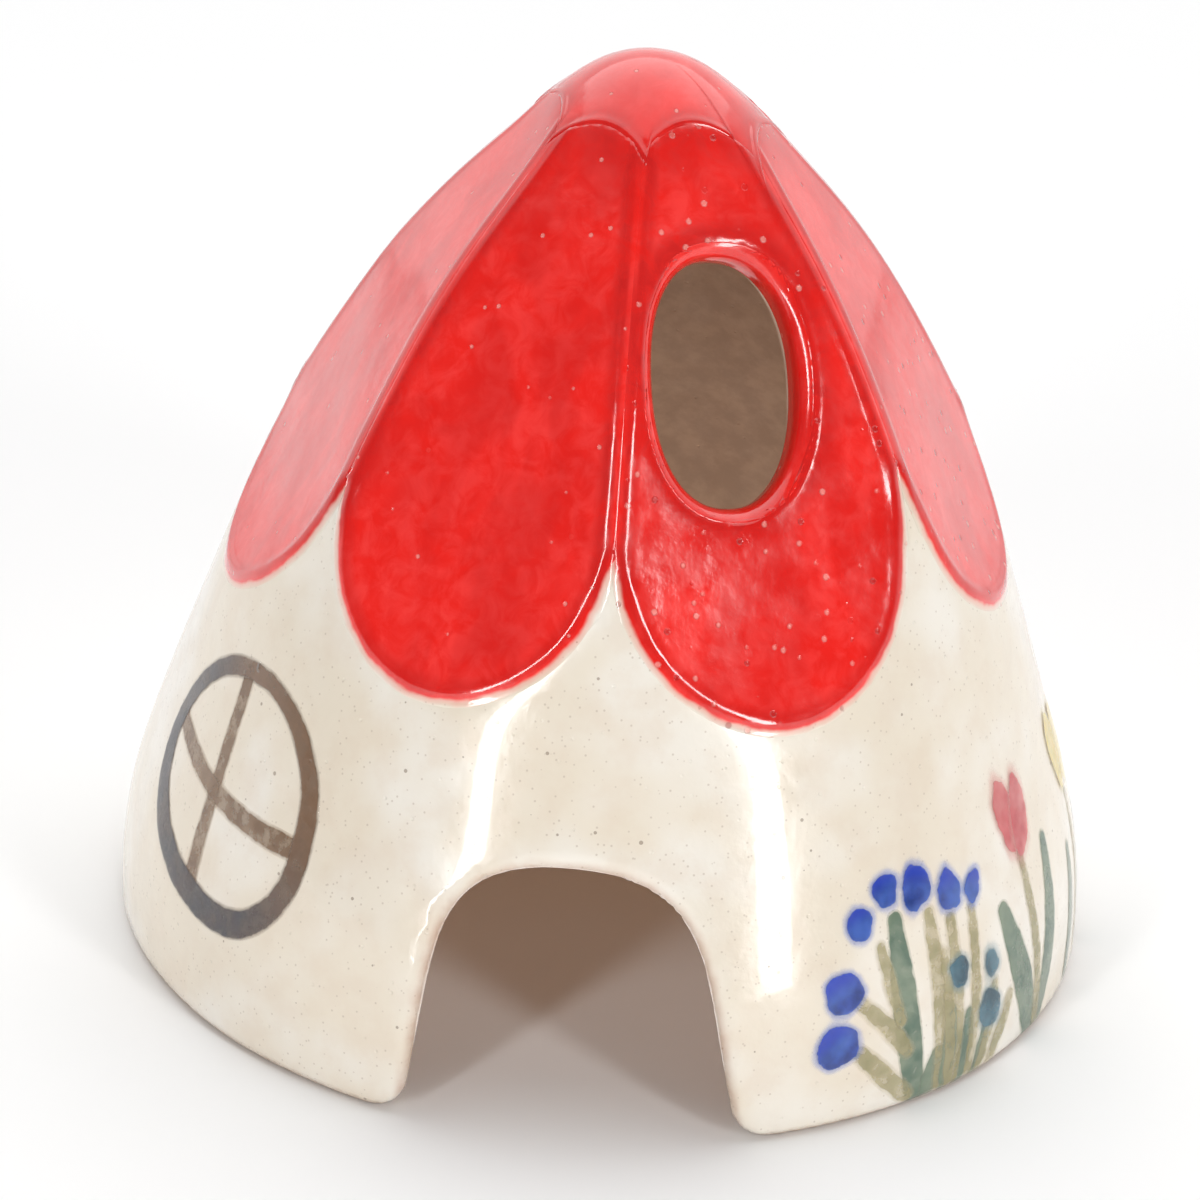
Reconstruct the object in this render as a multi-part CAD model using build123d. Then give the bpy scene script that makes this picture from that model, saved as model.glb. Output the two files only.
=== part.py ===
from build123d import *
import math
import os

os.makedirs("parts", exist_ok=True)

# A small hand-made stoneware cottage. Its roof is a ring of seven flat petals cut into a
# leaning bell-shaped wall. All sizes are millimetres. +Z is up, the foot ring stands on
# Z = 0 with the bell's axis on the origin, and the arched doorway faces -Y.
# An azimuth is measured from the doorway: 0 is -Y and +90 is +X.

# ---- driving dimensions -------------------------------------------------------------
FOOT_RADIUS = 48.0
HEIGHT = 89.0
GLAZE = 0.35                # red glaze coat on the petals and crown
PAINT = 0.20                # painted strokes on the wall
FOOT_ROUND = 1.4            # rounded lower edge of the foot ring
DOOR_ROUND = 1.0            # rounded edges of the doorway
RIDGE_ROUND = 2.0           # softened ridge between two petals
DOOR_WIDTH = 30.0
DOOR_HEIGHT = 25.4
DOOR_FLARE = 3.4            # how far the jambs sweep out where they meet the ground
OPENING_HALF_WIDTH = 7.4
OPENING_HALF_LENGTH = 11.8  # measured up the roof slope
OPENING_LIP = 1.2           # how far the flared mouth widens the opening
OPENING_HEIGHT = 65.6       # centre of the roof opening above the foot
OPENING_DISTANCE = 22.9     # and out from the axis
OPENING_SHIFT = 0.9         # off the petal's middle, towards the doorway
OPENING_SLOPE = 31.0        # degrees that the opening faces upward
OPENING_TURN = -7.0         # degrees that the oval leans

# Outer wall, inner wall and petal face as (distance from axis, height).
WALL_OUTLINE = [(FOOT_RADIUS, 0), (47.0, 12), (43.4, 24), (39.3, 36), (33.7, 51),
                (26.7, 66), (16.6, 78.2), (9.9, 84), (4.5, 87.9), (0, HEIGHT)]
HOLLOW_OUTLINE = [(43.2, 0), (42.3, 12), (38.8, 24), (34.4, 36), (26.0, 51),
                  (18.2, 65), (9.6, 76.5), (4.4, 80.8), (0, 82)]
PETAL_FACE = [(43.9, 30), (38.5, 37.9), (34.3, 44), (30.5, 51), (22.6, 66),
              (16.4, 75), (10.9, 81.7), (8.0, 86), (4.0, 93)]
CROWN_BASE = 80.6           # the crown's points reach down between the petals to here

# Each petal sits where the potter pressed it: azimuth, and how far its face stands out.
PETALS = {
    "back": (180.0, 0.0),
    "back_left": (-128.0, 0.0),
    "left": (-76.0, 0.0),
    "front_left": (-24.6, 0.25),
    "front_right": (26.4, 0.0),
    "right": (79.0, 0.9),
    "back_right": (129.0, 0.1),
}


# ---- helpers ------------------------------------------------------------------------
def spread(points, distance, start, end):
    """Smooth line through points, moved sideways by distance (outward is positive)."""
    line = Spline(*points, tangents=[start, end])
    steps = 3 * len(points)
    moved = []
    for index in range(steps + 1):
        place = line @ (index / steps)
        along = line % (index / steps)
        moved.append((place.X + along.Y * distance, place.Y - along.X * distance))
    return moved


def bell(points, distance):
    """Solid of revolution under an outline that runs from the foot to the axis."""
    moved = spread(points, distance, (0, 1), (-1, 0)) if distance else points
    top = (0, moved[-1][1])
    foot = (moved[0][0], 0)
    curve = Spline(*([foot] + moved[1:-1] + [top]), tangents=[(0, 1), (-1, 0)])
    edge = Polyline(top, (0, 0), foot)
    section = make_face(Plane.XZ * (curve + edge))
    return revolve(section, Axis.Z)


def radial_plane(azimuth):
    """Upright plane through the axis: its X runs outward and its Y runs up."""
    angle = math.radians(azimuth)
    outward = Vector(math.sin(angle), -math.cos(angle), 0)
    return Plane(origin=(0, 0, 0), x_dir=outward, z_dir=outward.cross(Vector(0, 0, 1)))


def petal_cutter(azimuth, stand_out):
    """Everything outside one petal's face, which is straight across and curved in height."""
    points = [(r + stand_out, z) for r, z in PETAL_FACE]
    curve = Spline(*points)
    far = 75.0
    rim = Polyline(points[-1], (far, points[-1][1]), (far, points[0][1]), points[0])
    section = make_face(radial_plane(azimuth) * (curve + rim))
    return extrude(section, amount=60, both=True)


def cut_petals(form, lift):
    for azimuth, stand_out in PETALS.values():
        form = form - petal_cutter(azimuth, stand_out + lift)
    return form


def soften_ridges(form, radius):
    """Round the long edges where neighbouring petals meet."""
    ridges = []
    for edge in form.edges():
        box = edge.bounding_box()
        if edge.length > 18 and box.min.Z > 48 and box.max.Z > 70:
            ridges.append(edge)
    return fillet(ridges, radius)


def foot_rounder():
    """Ring that rounds the outer corner of the foot."""
    middle = FOOT_RADIUS - FOOT_ROUND
    lean = FOOT_ROUND * math.sqrt(0.5)
    arc = ThreePointArc((FOOT_RADIUS, FOOT_ROUND), (middle + lean, FOOT_ROUND - lean),
                        (middle, 0))
    rest = Polyline((middle, 0), (middle, -1), (FOOT_RADIUS + 1, -1),
                    (FOOT_RADIUS + 1, FOOT_ROUND), (FOOT_RADIUS, FOOT_ROUND))
    return revolve(make_face(Plane.XZ * (arc + rest)), Axis.Z)


def sector(low, high):
    """Wedge of space between two azimuths."""
    far = 120.0
    middle = math.radians((low + high) / 2)
    corners = [(0, 0)]
    for angle in (math.radians(low), middle, math.radians(high)):
        corners.append((far * math.sin(angle), -far * math.cos(angle)))
    return extrude(make_face(Polyline(*corners, close=True)), amount=HEIGHT + 20)


def save(shape, node, colour):
    shape.label = node
    shape.color = Color(*colour)
    export_step(shape, "parts/" + node + ".step")
    print(node, len(shape.solids()), "solid(s)", round(shape.volume, 1), "mm3")


# ---- doorway and roof opening -------------------------------------------------------
def doorway():
    """Arch cut through the front wall, flared where its jambs meet the foot ring."""
    half = DOOR_WIDTH / 2
    wide = half + DOOR_FLARE
    knee = DOOR_FLARE * (1 - math.sqrt(0.5))
    left_foot = ThreePointArc((-wide, 0), (-half - knee, knee), (-half, DOOR_FLARE))
    arch = Spline((-half, DOOR_FLARE), (-12.0, 16.8), (-8.4, 22.6), (-1.5, DOOR_HEIGHT),
                  (5.2, 24.0), (11.9, 17.0), (half, DOOR_FLARE),
                  tangents=[(0.12, 1), (0.12, -1)])
    right_foot = ThreePointArc((half, DOOR_FLARE), (half + knee, knee), (wide, 0))
    sill = Polyline((wide, 0), (wide, -2), (-wide, -2), (-wide, 0))
    section = make_face(Plane.XZ * (left_foot + arch + right_foot + sill))
    return extrude(section, amount=60, dir=(0, -1, 0))


def opening_plane():
    """Plane on the front right petal, facing out along the slope of the roof."""
    azimuth, stand_out = PETALS["front_right"]
    upright = radial_plane(azimuth)
    slope = math.radians(OPENING_SLOPE)
    across = upright.z_dir * -1
    outward = upright.x_dir * math.cos(slope) + Vector(0, 0, 1) * math.sin(slope)
    distance = OPENING_DISTANCE + stand_out
    centre = (upright.x_dir * distance + Vector(0, 0, OPENING_HEIGHT)
              - across * OPENING_SHIFT)
    turned = Plane(origin=centre, x_dir=across, z_dir=outward)
    return turned.rotated((0, 0, OPENING_TURN))


def opening_tool(shrink):
    """Oval passage through the petal with a softly flared mouth."""
    mouth = opening_plane()
    width = OPENING_HALF_WIDTH - shrink
    length = OPENING_HALF_LENGTH - shrink
    bore = extrude(mouth.offset(-14) * Ellipse(width, length), amount=12)
    flare = []
    for depth, widen in ((-2.4, 0.0), (-1.2, 0.2), (-0.3, 0.7), (0.3, 1.1), (1.0, 2.0)):
        flare.append(mouth.offset(depth) * Ellipse(width + widen, length + widen))
    return bore + loft(flare)


# ---- the pot itself -----------------------------------------------------------------
solid_bell = bell(WALL_OUTLINE, 0)
faceted = soften_ridges(cut_petals(solid_bell, 0), RIDGE_ROUND)
hollow = bell(HOLLOW_OUTLINE, 0)
passage = opening_tool(0)

shell = faceted - hollow - passage - doorway()
door_edges = []
for edge in shell.edges():
    box = edge.bounding_box()
    upright = box.max.Z - box.min.Z > 1.0
    if upright and box.max.Y < -30 and box.max.Z < 27 and abs(edge.center().X) < 20:
        door_edges.append(edge)
body = fillet(door_edges, DOOR_ROUND) - foot_rounder()
save(body, "stoneware_body", (0.92, 0.88, 0.81))

# ---- red glaze: seven petals, the crown above them and the opening's lining ---------
coated = soften_ridges(cut_petals(solid_bell, GLAZE), RIDGE_ROUND + GLAZE)
mouth_width = OPENING_HALF_WIDTH + OPENING_LIP
mouth_length = OPENING_HALF_LENGTH + OPENING_LIP
mouth = extrude(opening_plane().offset(-6) * Ellipse(mouth_width, mouth_length), amount=12)
petal_coat = coated - faceted - mouth

names = list(PETALS)
azimuths = [PETALS[name][0] for name in names]
for index, name in enumerate(names):
    here = azimuths[index]
    before = azimuths[index - 1]
    after = azimuths[(index + 1) % len(names)]
    low = (here + (before if before < here else before - 360)) / 2
    high = (here + (after if after > here else after + 360)) / 2
    petal = petal_coat & sector(low, high)
    save(petal, "petal_glaze_" + name, (0.85, 0.07, 0.06))

glazed_bell = bell(WALL_OUTLINE, GLAZE)
crown_space = Pos(0, 0, CROWN_BASE) * Cylinder(
    40, 30, align=(Align.CENTER, Align.CENTER, Align.MIN))
crown = (cut_petals(glazed_bell, GLAZE) - coated) & crown_space
save(crown, "crown_glaze", (0.85, 0.07, 0.06))

lining = (passage - opening_tool(GLAZE)) & (coated - hollow)
save(lining, "opening_glaze", (0.80, 0.05, 0.05))

# ---- painted wall -------------------------------------------------------------------
painted_bell = bell(WALL_OUTLINE, PAINT)


def wall_radius(height):
    """Distance from the axis to the outer wall at a height below the petals."""
    for (low_r, low_z), (high_r, high_z) in zip(WALL_OUTLINE, WALL_OUTLINE[1:]):
        if low_z <= height <= high_z:
            return low_r + (high_r - low_r) * (height - low_z) / (high_z - low_z)
    return 0.0


def wall_plane(azimuth, height):
    """Upright plane in front of the wall; X runs to the right and Y up."""
    angle = math.radians(azimuth)
    outward = Vector(math.sin(angle), -math.cos(angle), 0)
    centre = outward * (wall_radius(height) - 6) + Vector(0, 0, height)
    return Plane(origin=centre, x_dir=Vector(0, 0, 1).cross(outward), z_dir=outward)


def painted(shape, azimuth, height):
    """Lay a flat brush mark onto the wall's curved surface."""
    mark = extrude(wall_plane(azimuth, height) * shape, amount=14)
    return (mark & painted_bell) - solid_bell


def brush_stroke(start, end, width, bend=0.0):
    """Tapered stroke between two (azimuth, height) places, bowed sideways by bend."""
    azimuth = (start[0] + end[0]) / 2
    height = (start[1] + end[1]) / 2
    radius = wall_radius(height)
    ends = []
    for place in (start, end):
        across = math.radians(place[0] - azimuth) * radius
        ends.append(Vector(across, place[1] - height))
    along = (ends[1] - ends[0]).normalized()
    side = Vector(-along.Y, along.X)
    middle = (ends[0] + ends[1]) * 0.5 + side * bend
    left = Spline(ends[0], middle + side * width / 2, ends[1])
    right = Spline(ends[1], middle - side * width / 2, ends[0])
    return painted(make_face(left + right), azimuth, height)


def dab(azimuth, height, width, length):
    """One rounded touch of the brush."""
    return painted(Ellipse(width / 2, length / 2), azimuth, height)


def group(pieces):
    """Lay strokes of one colour together; marks that touch become one."""
    whole = pieces[0]
    for piece in pieces[1:]:
        whole = whole + piece
    return whole


# Round window with two crossed glazing bars.
WINDOW = (-52.0, 22.4)
ring = painted(Ellipse(12.2, 13.6) - Ellipse(9.8, 11.3), *WINDOW)
upright_bar = painted(Pos(-1.0, 0) * Rot(0, 0, -3) * Rectangle(2.0, 25.0), *WINDOW)
cross_bar = painted(Pos(0.3, -0.6) * Rot(0, 0, -4) * Rectangle(23.0, 1.8), *WINDOW)
upright_bar = upright_bar - ring
cross_bar = cross_bar - ring - upright_bar
save(ring, "window_ring", (0.22, 0.18, 0.17))
save(upright_bar, "window_upright_bar", (0.38, 0.27, 0.19))
save(cross_bar, "window_cross_bar", (0.38, 0.27, 0.19))

# Grape hyacinths: blue dabs as (azimuth, height, width, length).
blue = [(38, 21.9, 2.6, 3.0), (42.6, 21.3, 3.4, 4.2), (47.8, 19.9, 3.2, 4.0),
        (52.0, 19.3, 2.3, 3.0), (33.8, 19.5, 3.0, 3.2), (31.1, 13.6, 4.0, 4.0),
        (30.1, 8.7, 4.4, 4.2)]
blossoms = group([dab(*mark) for mark in blue])
teal = [(47.9, 12.2, 2.6, 3.2), (53.8, 11.3, 2.2, 3.0), (53.2, 6.9, 3.4, 4.2)]
buds = group([dab(*mark) for mark in teal])

# Tulips: two petals side by side make each flower.
red_tulip = group([dab(61.6, 23.2, 3.4, 7.4), dab(65.0, 22.4, 3.6, 7.8)])
yellow_tulip = group([dab(84.0, 22.6, 4.6, 8.4), dab(88.6, 22.0, 4.8, 8.0)])

# Stems and leaves run between two (azimuth, height) places: start, end, width, bend.
leaf_places = [((38.9, 19.0), (41.0, 0.9), 2.8, 0.5), ((43.6, 4.6), (43.0, 0.9), 2.0, 0.0),
               ((57.8, 15.2), (63.2, 1.4), 3.2, -0.6), ((70.4, 17.0), (65.6, 1.6), 2.0, 0.5),
               ((79.5, 14.0), (76.0, 2.0), 2.4, 0.4), ((93.5, 13.0), (88.5, 1.8), 2.6, 0.4)]
stem_places = [((44.0, 18.4), (44.8, 1.4), 1.5, 0.2), ((47.4, 17.2), (47.0, 1.4), 1.5, -0.2),
               ((51.2, 17.2), (49.6, 1.4), 1.3, 0.3), ((33.4, 12.2), (39.2, 6.8), 1.5, 0.2),
               ((33.0, 7.4), (39.6, 1.6), 1.7, 0.2), ((54.2, 9.2), (51.6, 1.4), 1.3, 0.3),
               ((56.4, 6.2), (53.8, 1.4), 1.3, 0.2)]
tulip_stems = [((63.4, 18.6), (64.4, 1.6), 1.5, 0.2), ((85.4, 17.8), (82.2, 1.8), 1.6, 0.4)]

stems = group([brush_stroke(*place) for place in stem_places])
tulip_stalks = group([brush_stroke(*place) for place in tulip_stems])
leaves = group([brush_stroke(*place) for place in leaf_places])
stems = stems - blossoms - buds
tulip_stalks = tulip_stalks - red_tulip - yellow_tulip
leaves = leaves - stems - tulip_stalks - blossoms - buds

save(blossoms, "blue_blossoms", (0.10, 0.24, 0.66))
save(buds, "teal_buds", (0.14, 0.36, 0.46))
save(stems, "blossom_stems", (0.73, 0.67, 0.45))
save(leaves, "sage_leaves", (0.42, 0.52, 0.44))
save(red_tulip, "red_tulip", (0.84, 0.33, 0.36))
save(yellow_tulip, "yellow_tulip", (0.95, 0.87, 0.50))
save(tulip_stalks, "tulip_stems", (0.58, 0.62, 0.42))
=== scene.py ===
import math

import bpy
import numpy as np
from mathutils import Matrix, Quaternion, Vector


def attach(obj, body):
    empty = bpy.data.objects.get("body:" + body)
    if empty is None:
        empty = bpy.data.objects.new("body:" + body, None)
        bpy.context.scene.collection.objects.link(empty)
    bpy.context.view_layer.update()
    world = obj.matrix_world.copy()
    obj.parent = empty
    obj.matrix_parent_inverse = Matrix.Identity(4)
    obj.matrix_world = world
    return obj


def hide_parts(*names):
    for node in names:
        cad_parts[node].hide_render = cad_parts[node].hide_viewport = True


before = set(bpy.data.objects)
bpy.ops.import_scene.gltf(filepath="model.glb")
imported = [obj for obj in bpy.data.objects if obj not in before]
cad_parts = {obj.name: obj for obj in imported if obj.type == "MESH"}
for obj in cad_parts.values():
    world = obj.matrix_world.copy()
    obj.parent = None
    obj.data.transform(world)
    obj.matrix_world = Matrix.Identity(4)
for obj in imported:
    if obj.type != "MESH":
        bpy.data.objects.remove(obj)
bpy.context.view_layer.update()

MM = 0.001

# ---- the form, in millimetres -------------------------------------------------------
# A bell-shaped wall with seven petals pressed flat into its roof. Azimuth 0 is the
# doorway (-Y) and +90 is +X, as in the CAD.
HEIGHT = 89.0
CROWN_CAP = (1.15, 12.5)    # steepness and bluntness of the crown's rounded top
HOLLOW_TOP = 82.0
HOLLOW_CAP = (1.2, 8.0)
# Each petal's name, azimuth, and how much further out it lies than the FACE curve.
PETALS = [("back_left", -128.0, 0.0), ("left", -76.0, 0.0), ("front_left", -24.6, 0.25),
          ("front_right", 26.4, 0.0), ("right", 79.0, 0.9), ("back_right", 129.0, 0.1),
          ("back", 180.0, 0.0)]

# How sharply the forms are joined: a higher number makes a crisper edge.
RIDGE_SHARPNESS = 3.4
CROWN_SHARPNESS = 3.0
HOLLOW_SHARPNESS = 2.0
HOLLOW_WOBBLE = 1.6         # the hollow is this many times as uneven as the outside

FOOT_ROUND = 1.5
DOOR_FOOT_ROUND = 3.2
RIM_ROUND = 1.8

DOOR_HEIGHT = 25.4
DOOR_HALF = 15.5            # half the doorway's width at the foot
DOOR_TAPER = 0.17           # and how much of that is lost with height
DOOR_HALF_LEAST = 2
DOOR_LEAN = 0.05
DOOR_SHIFT = 0.3
DOOR_SIDE_POWER = 2.2
DOOR_TOP_POWER = 7
DOOR_BACK = -20             # the arch cuts the front wall only, up to this far back in Y

OPENING_PETAL = "front_right"
OPENING_AZIMUTH = math.radians(26.4)
OPENING_HALF = (7.4, 11.8)
OPENING_POWER = 2.25        # 2 would make it an ellipse
OPENING_TURN = math.radians(-7.0)
OPENING_SLOPE = math.radians(31.0)
OPENING_SHIFT = -0.9
OPENING_OUT = 22.9
OPENING_HEIGHT = 65.6
OPENING_DEPTH = 13

GLAZE = 0.34
LIP = 0.11                  # glaze gathers in a thicker lip above its lower edge
BEAD = 0.09                 # and in a bead along each side of a ridge
# How far each coat's mesh runs on past its own line, to dip into the wall there.
EDGE_MARGIN = 0.42
RIDGE_MARGIN = 0.5
CROWN_MARGIN = 0.6
EDGE_DIP = 0.18
RIDGE_DIP = 0.30
LINING_DIP = 0.40
FILM_DEPTH = 0.5            # a coat's unseen underside lies this far below its top
# The coats lie at slightly different heights, so that no two are flush.
COAT_STEP = 0.004
CROWN_LOWER = 0.012
LINING_LOWER = 0.01
RIDGES_FROM = 60            # above this height every petal ends at a ridge on both sides

UNROLL = 45.0               # azimuth times this is the distance round the wall
STROKE_MARGIN = 0.35
STROKE_STEP = 0.4
STROKE_COLUMNS = 11
STROKE_CAP_ROWS = 7
DAB_MARGIN = 0.8
DAB_STEP = 0.006            # each mark of a group lies this much above the one before
MARK_EDGE = 0.25            # width over which a mark's margin dips
MARK_DIP = 0.05
MARK_LOWEST = 0.4           # marks stop this far above the floor

GRID_LOW = (-50, -50, -1.6)
GRID_HIGH = (50, 50, 91.2)
GRID_CELL = 0.8


def smooth_curve(points):
    """Natural cubic spline through (x, y) points, straight beyond its ends."""
    x, y = np.array(points, float).T
    count = len(x)
    gap = np.diff(x)
    system = np.eye(count)
    right = np.zeros(count)
    for i in range(1, count - 1):
        system[i, i - 1:i + 2] = gap[i - 1], 2 * (gap[i - 1] + gap[i]), gap[i]
        right[i] = 6 * ((y[i + 1] - y[i]) / gap[i] - (y[i] - y[i - 1]) / gap[i - 1])
    bend = np.linalg.solve(system, right)

    def inside(t):
        i = np.clip(np.searchsorted(x, t) - 1, 0, count - 2)
        a = x[i + 1] - t
        b = t - x[i]
        h = gap[i]
        curve = (bend[i] * a ** 3 + bend[i + 1] * b ** 3) / (6 * h)
        near = (y[i] / h - bend[i] * h / 6) * a
        far = (y[i + 1] / h - bend[i + 1] * h / 6) * b
        return curve + near + far

    step = 0.01
    slope_low = (inside(x[0] + step) - inside(x[0])) / step
    slope_high = (inside(x[-1]) - inside(x[-1] - step)) / step

    def value(t):
        t = np.asarray(t, float)
        held = np.clip(t, x[0], x[-1])
        below, above = np.minimum(t - x[0], 0), np.maximum(t - x[-1], 0)
        return inside(held) + slope_low * below + slope_high * above

    return value


# Radius of the round wall, radius of the hollow, and how far out a petal's face lies,
# each as (height, distance) points.
WALL = smooth_curve([(0, 48.0), (6, 47.85), (12, 47.0), (24, 43.4), (36, 39.3), (51, 33.75),
                     (66, 26.6), (78, 16.8), (84, 9.95), (88, 5.4)])
HOLLOW = smooth_curve([(0, 43.2), (12, 42.3), (24, 38.8), (36, 34.4), (51, 26.0),
                       (65, 18.2), (76.5, 9.6), (81, 4.6)])
FACE = smooth_curve([(30, 43.9), (37.9, 38.5), (44, 34.3), (51, 30.5), (66, 22.6),
                     (75, 16.4), (81.7, 10.9), (86, 8.0), (93, 4.0)])


def slope(curve, z):
    """How fast a curve's distance changes with height."""
    return (curve(z + 0.05) - curve(z - 0.05)) / 0.1


def soft_max(values, sharpness):
    """Greatest of some values, with the change from one to the next rounded off."""
    top = np.maximum.reduce(values)
    total = sum(np.exp(sharpness * (v - top)) for v in values)
    return top + np.log(total) / sharpness


def round_max(a, b, radius):
    """Intersection of two forms whose shared edge is rounded to a radius."""
    u = np.maximum(a + radius, 0)
    v = np.maximum(b + radius, 0)
    return np.minimum(np.maximum(a, b), -radius) + np.sqrt(u * u + v * v)


def wobble(x, y, z):
    """The gentle unevenness of hand building."""
    broad = np.sin(x / 8.5 + 0.4) * np.sin(y / 9.5 + 2.1) * np.sin(z / 12 + 0.3)
    fine = np.sin(x / 4.1 + z / 6 + 1.2) * np.sin(y / 4.7 - z / 5)
    return 0.14 * broad + 0.05 * fine


def dome(r, z, top, shape):
    """Height above a blunt cone whose rounded tip is at the given height."""
    steep, blunt = shape
    arm = np.sqrt(blunt ** 2 + (steep * r) ** 2)
    return (z - top + arm - blunt) / np.sqrt(1 + (steep * steep * r / arm) ** 2)


def outer(p):
    """Height above the outer surface, without the doorway and opening."""
    x, y, z = p[..., 0], p[..., 1], p[..., 2]
    r = np.sqrt(x * x + y * y + 1e-9)
    side = (r - WALL(z)) / np.sqrt(1 + slope(WALL, z) ** 2)
    bell = soft_max([side, dome(r, z, HEIGHT, CROWN_CAP)], CROWN_SHARPNESS)
    face = FACE(z)
    scale = 1 / np.sqrt(1 + slope(FACE, z) ** 2)
    forms = [bell]
    for _, azimuth, stand_out in PETALS:
        a = math.radians(azimuth)
        out = x * math.sin(a) - y * math.cos(a)
        forms.append((out - face - stand_out) * scale)
    return soft_max(forms, RIDGE_SHARPNESS) - wobble(x, y, z)


def inner(p):
    """Height above the hollow's surface, less than zero in the hollow."""
    x, y, z = p[..., 0], p[..., 1], p[..., 2]
    r = np.sqrt(x * x + y * y + 1e-9)
    side = (r - HOLLOW(z)) / np.sqrt(1 + slope(HOLLOW, z) ** 2)
    cap = dome(r, z, HOLLOW_TOP, HOLLOW_CAP)
    return soft_max([side, cap], HOLLOW_SHARPNESS) - HOLLOW_WOBBLE * wobble(y, x, z)


def doorway(p):
    """Distance outside the arch, which is a little wider at the foot and leans left."""
    x, y, z = p[..., 0], p[..., 1], p[..., 2]

    def arch(x, z):
        half = np.maximum(DOOR_HALF - DOOR_TAPER * z, DOOR_HALF_LEAST)
        across = np.abs(x + DOOR_LEAN * z + DOOR_SHIFT) / half
        up = np.maximum(z, 0) / DOOR_HEIGHT
        total = across ** DOOR_SIDE_POWER + up ** DOOR_TOP_POWER
        return total ** (1 / DOOR_SIDE_POWER) - 1

    step = 0.05
    here = arch(x, z)
    dx = (arch(x + step, z) - here) / step
    dz = (arch(x, z + step) - here) / step
    distance = here / np.sqrt(dx * dx + dz * dz + 1e-4)
    return np.maximum(distance, y - DOOR_BACK)


def opening_axes():
    """Centre of the oval opening, its right and up directions, and the way out of it."""
    a = OPENING_AZIMUTH
    out = np.array([math.sin(a), -math.cos(a), 0])
    right = np.array([math.cos(a), math.sin(a), 0])
    normal = out * math.cos(OPENING_SLOPE) + np.array([0, 0, math.sin(OPENING_SLOPE)])
    up = np.cross(normal, right)
    centre = out * OPENING_OUT + np.array([0, 0, OPENING_HEIGHT]) + right * OPENING_SHIFT
    c, s = math.cos(OPENING_TURN), math.sin(OPENING_TURN)
    return centre, right * c + up * s, up * c - right * s, normal


HOLE_CENTRE, HOLE_RIGHT, HOLE_UP, HOLE_OUT = opening_axes()


def opening(p):
    """Distance outside the oval passage through the front right petal."""
    q = p - HOLE_CENTRE
    u, v, w = q @ HOLE_RIGHT, q @ HOLE_UP, q @ HOLE_OUT
    a = np.abs(u) / OPENING_HALF[0] + 1e-6
    b = np.abs(v) / OPENING_HALF[1] + 1e-6
    total = np.maximum(a ** OPENING_POWER + b ** OPENING_POWER, 0.02)
    here = total ** (1 / OPENING_POWER)
    lean = here / total
    gu = lean * a ** (OPENING_POWER - 1) / OPENING_HALF[0]
    gv = lean * b ** (OPENING_POWER - 1) / OPENING_HALF[1]
    distance = (here - 1) / np.sqrt(gu * gu + gv * gv + 1e-5)
    return np.maximum(distance, -w - OPENING_DEPTH)


def pot(p):
    """Height above the finished pot's surface."""
    wall = np.maximum(outer(p), -inner(p))
    lower = round_max(-p[..., 2], -doorway(p), DOOR_FOOT_ROUND)
    form = round_max(wall, lower, FOOT_ROUND)
    return round_max(form, -opening(p), RIM_ROUND)


def gradient(form, p):
    """Direction and rate in which a form's height grows fastest."""
    step = 0.04
    sides = []
    for axis in range(3):
        move = np.zeros(3)
        move[axis] = step
        sides.append((form(p + move) - form(p - move)) / (2 * step))
    return np.stack(sides, axis=-1)


def settle(form, p, height):
    """Move points along the form's slope until they lie at a height above it."""
    for _ in range(5):
        g = gradient(form, p)
        miss = form(p) - height
        p = p - g * (miss / np.maximum((g * g).sum(-1), 0.05))[..., None]
    return p


# ---- meshing ------------------------------------------------------------------------
def edge_ends(shape, axis):
    """Indexes of the near and the far ends of all the grid's edges along an axis."""
    near = [slice(None)] * 3
    far = [slice(None)] * 3
    near[axis] = slice(0, shape[axis] - 1)
    far[axis] = slice(1, shape[axis])
    return tuple(near), tuple(far)


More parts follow.
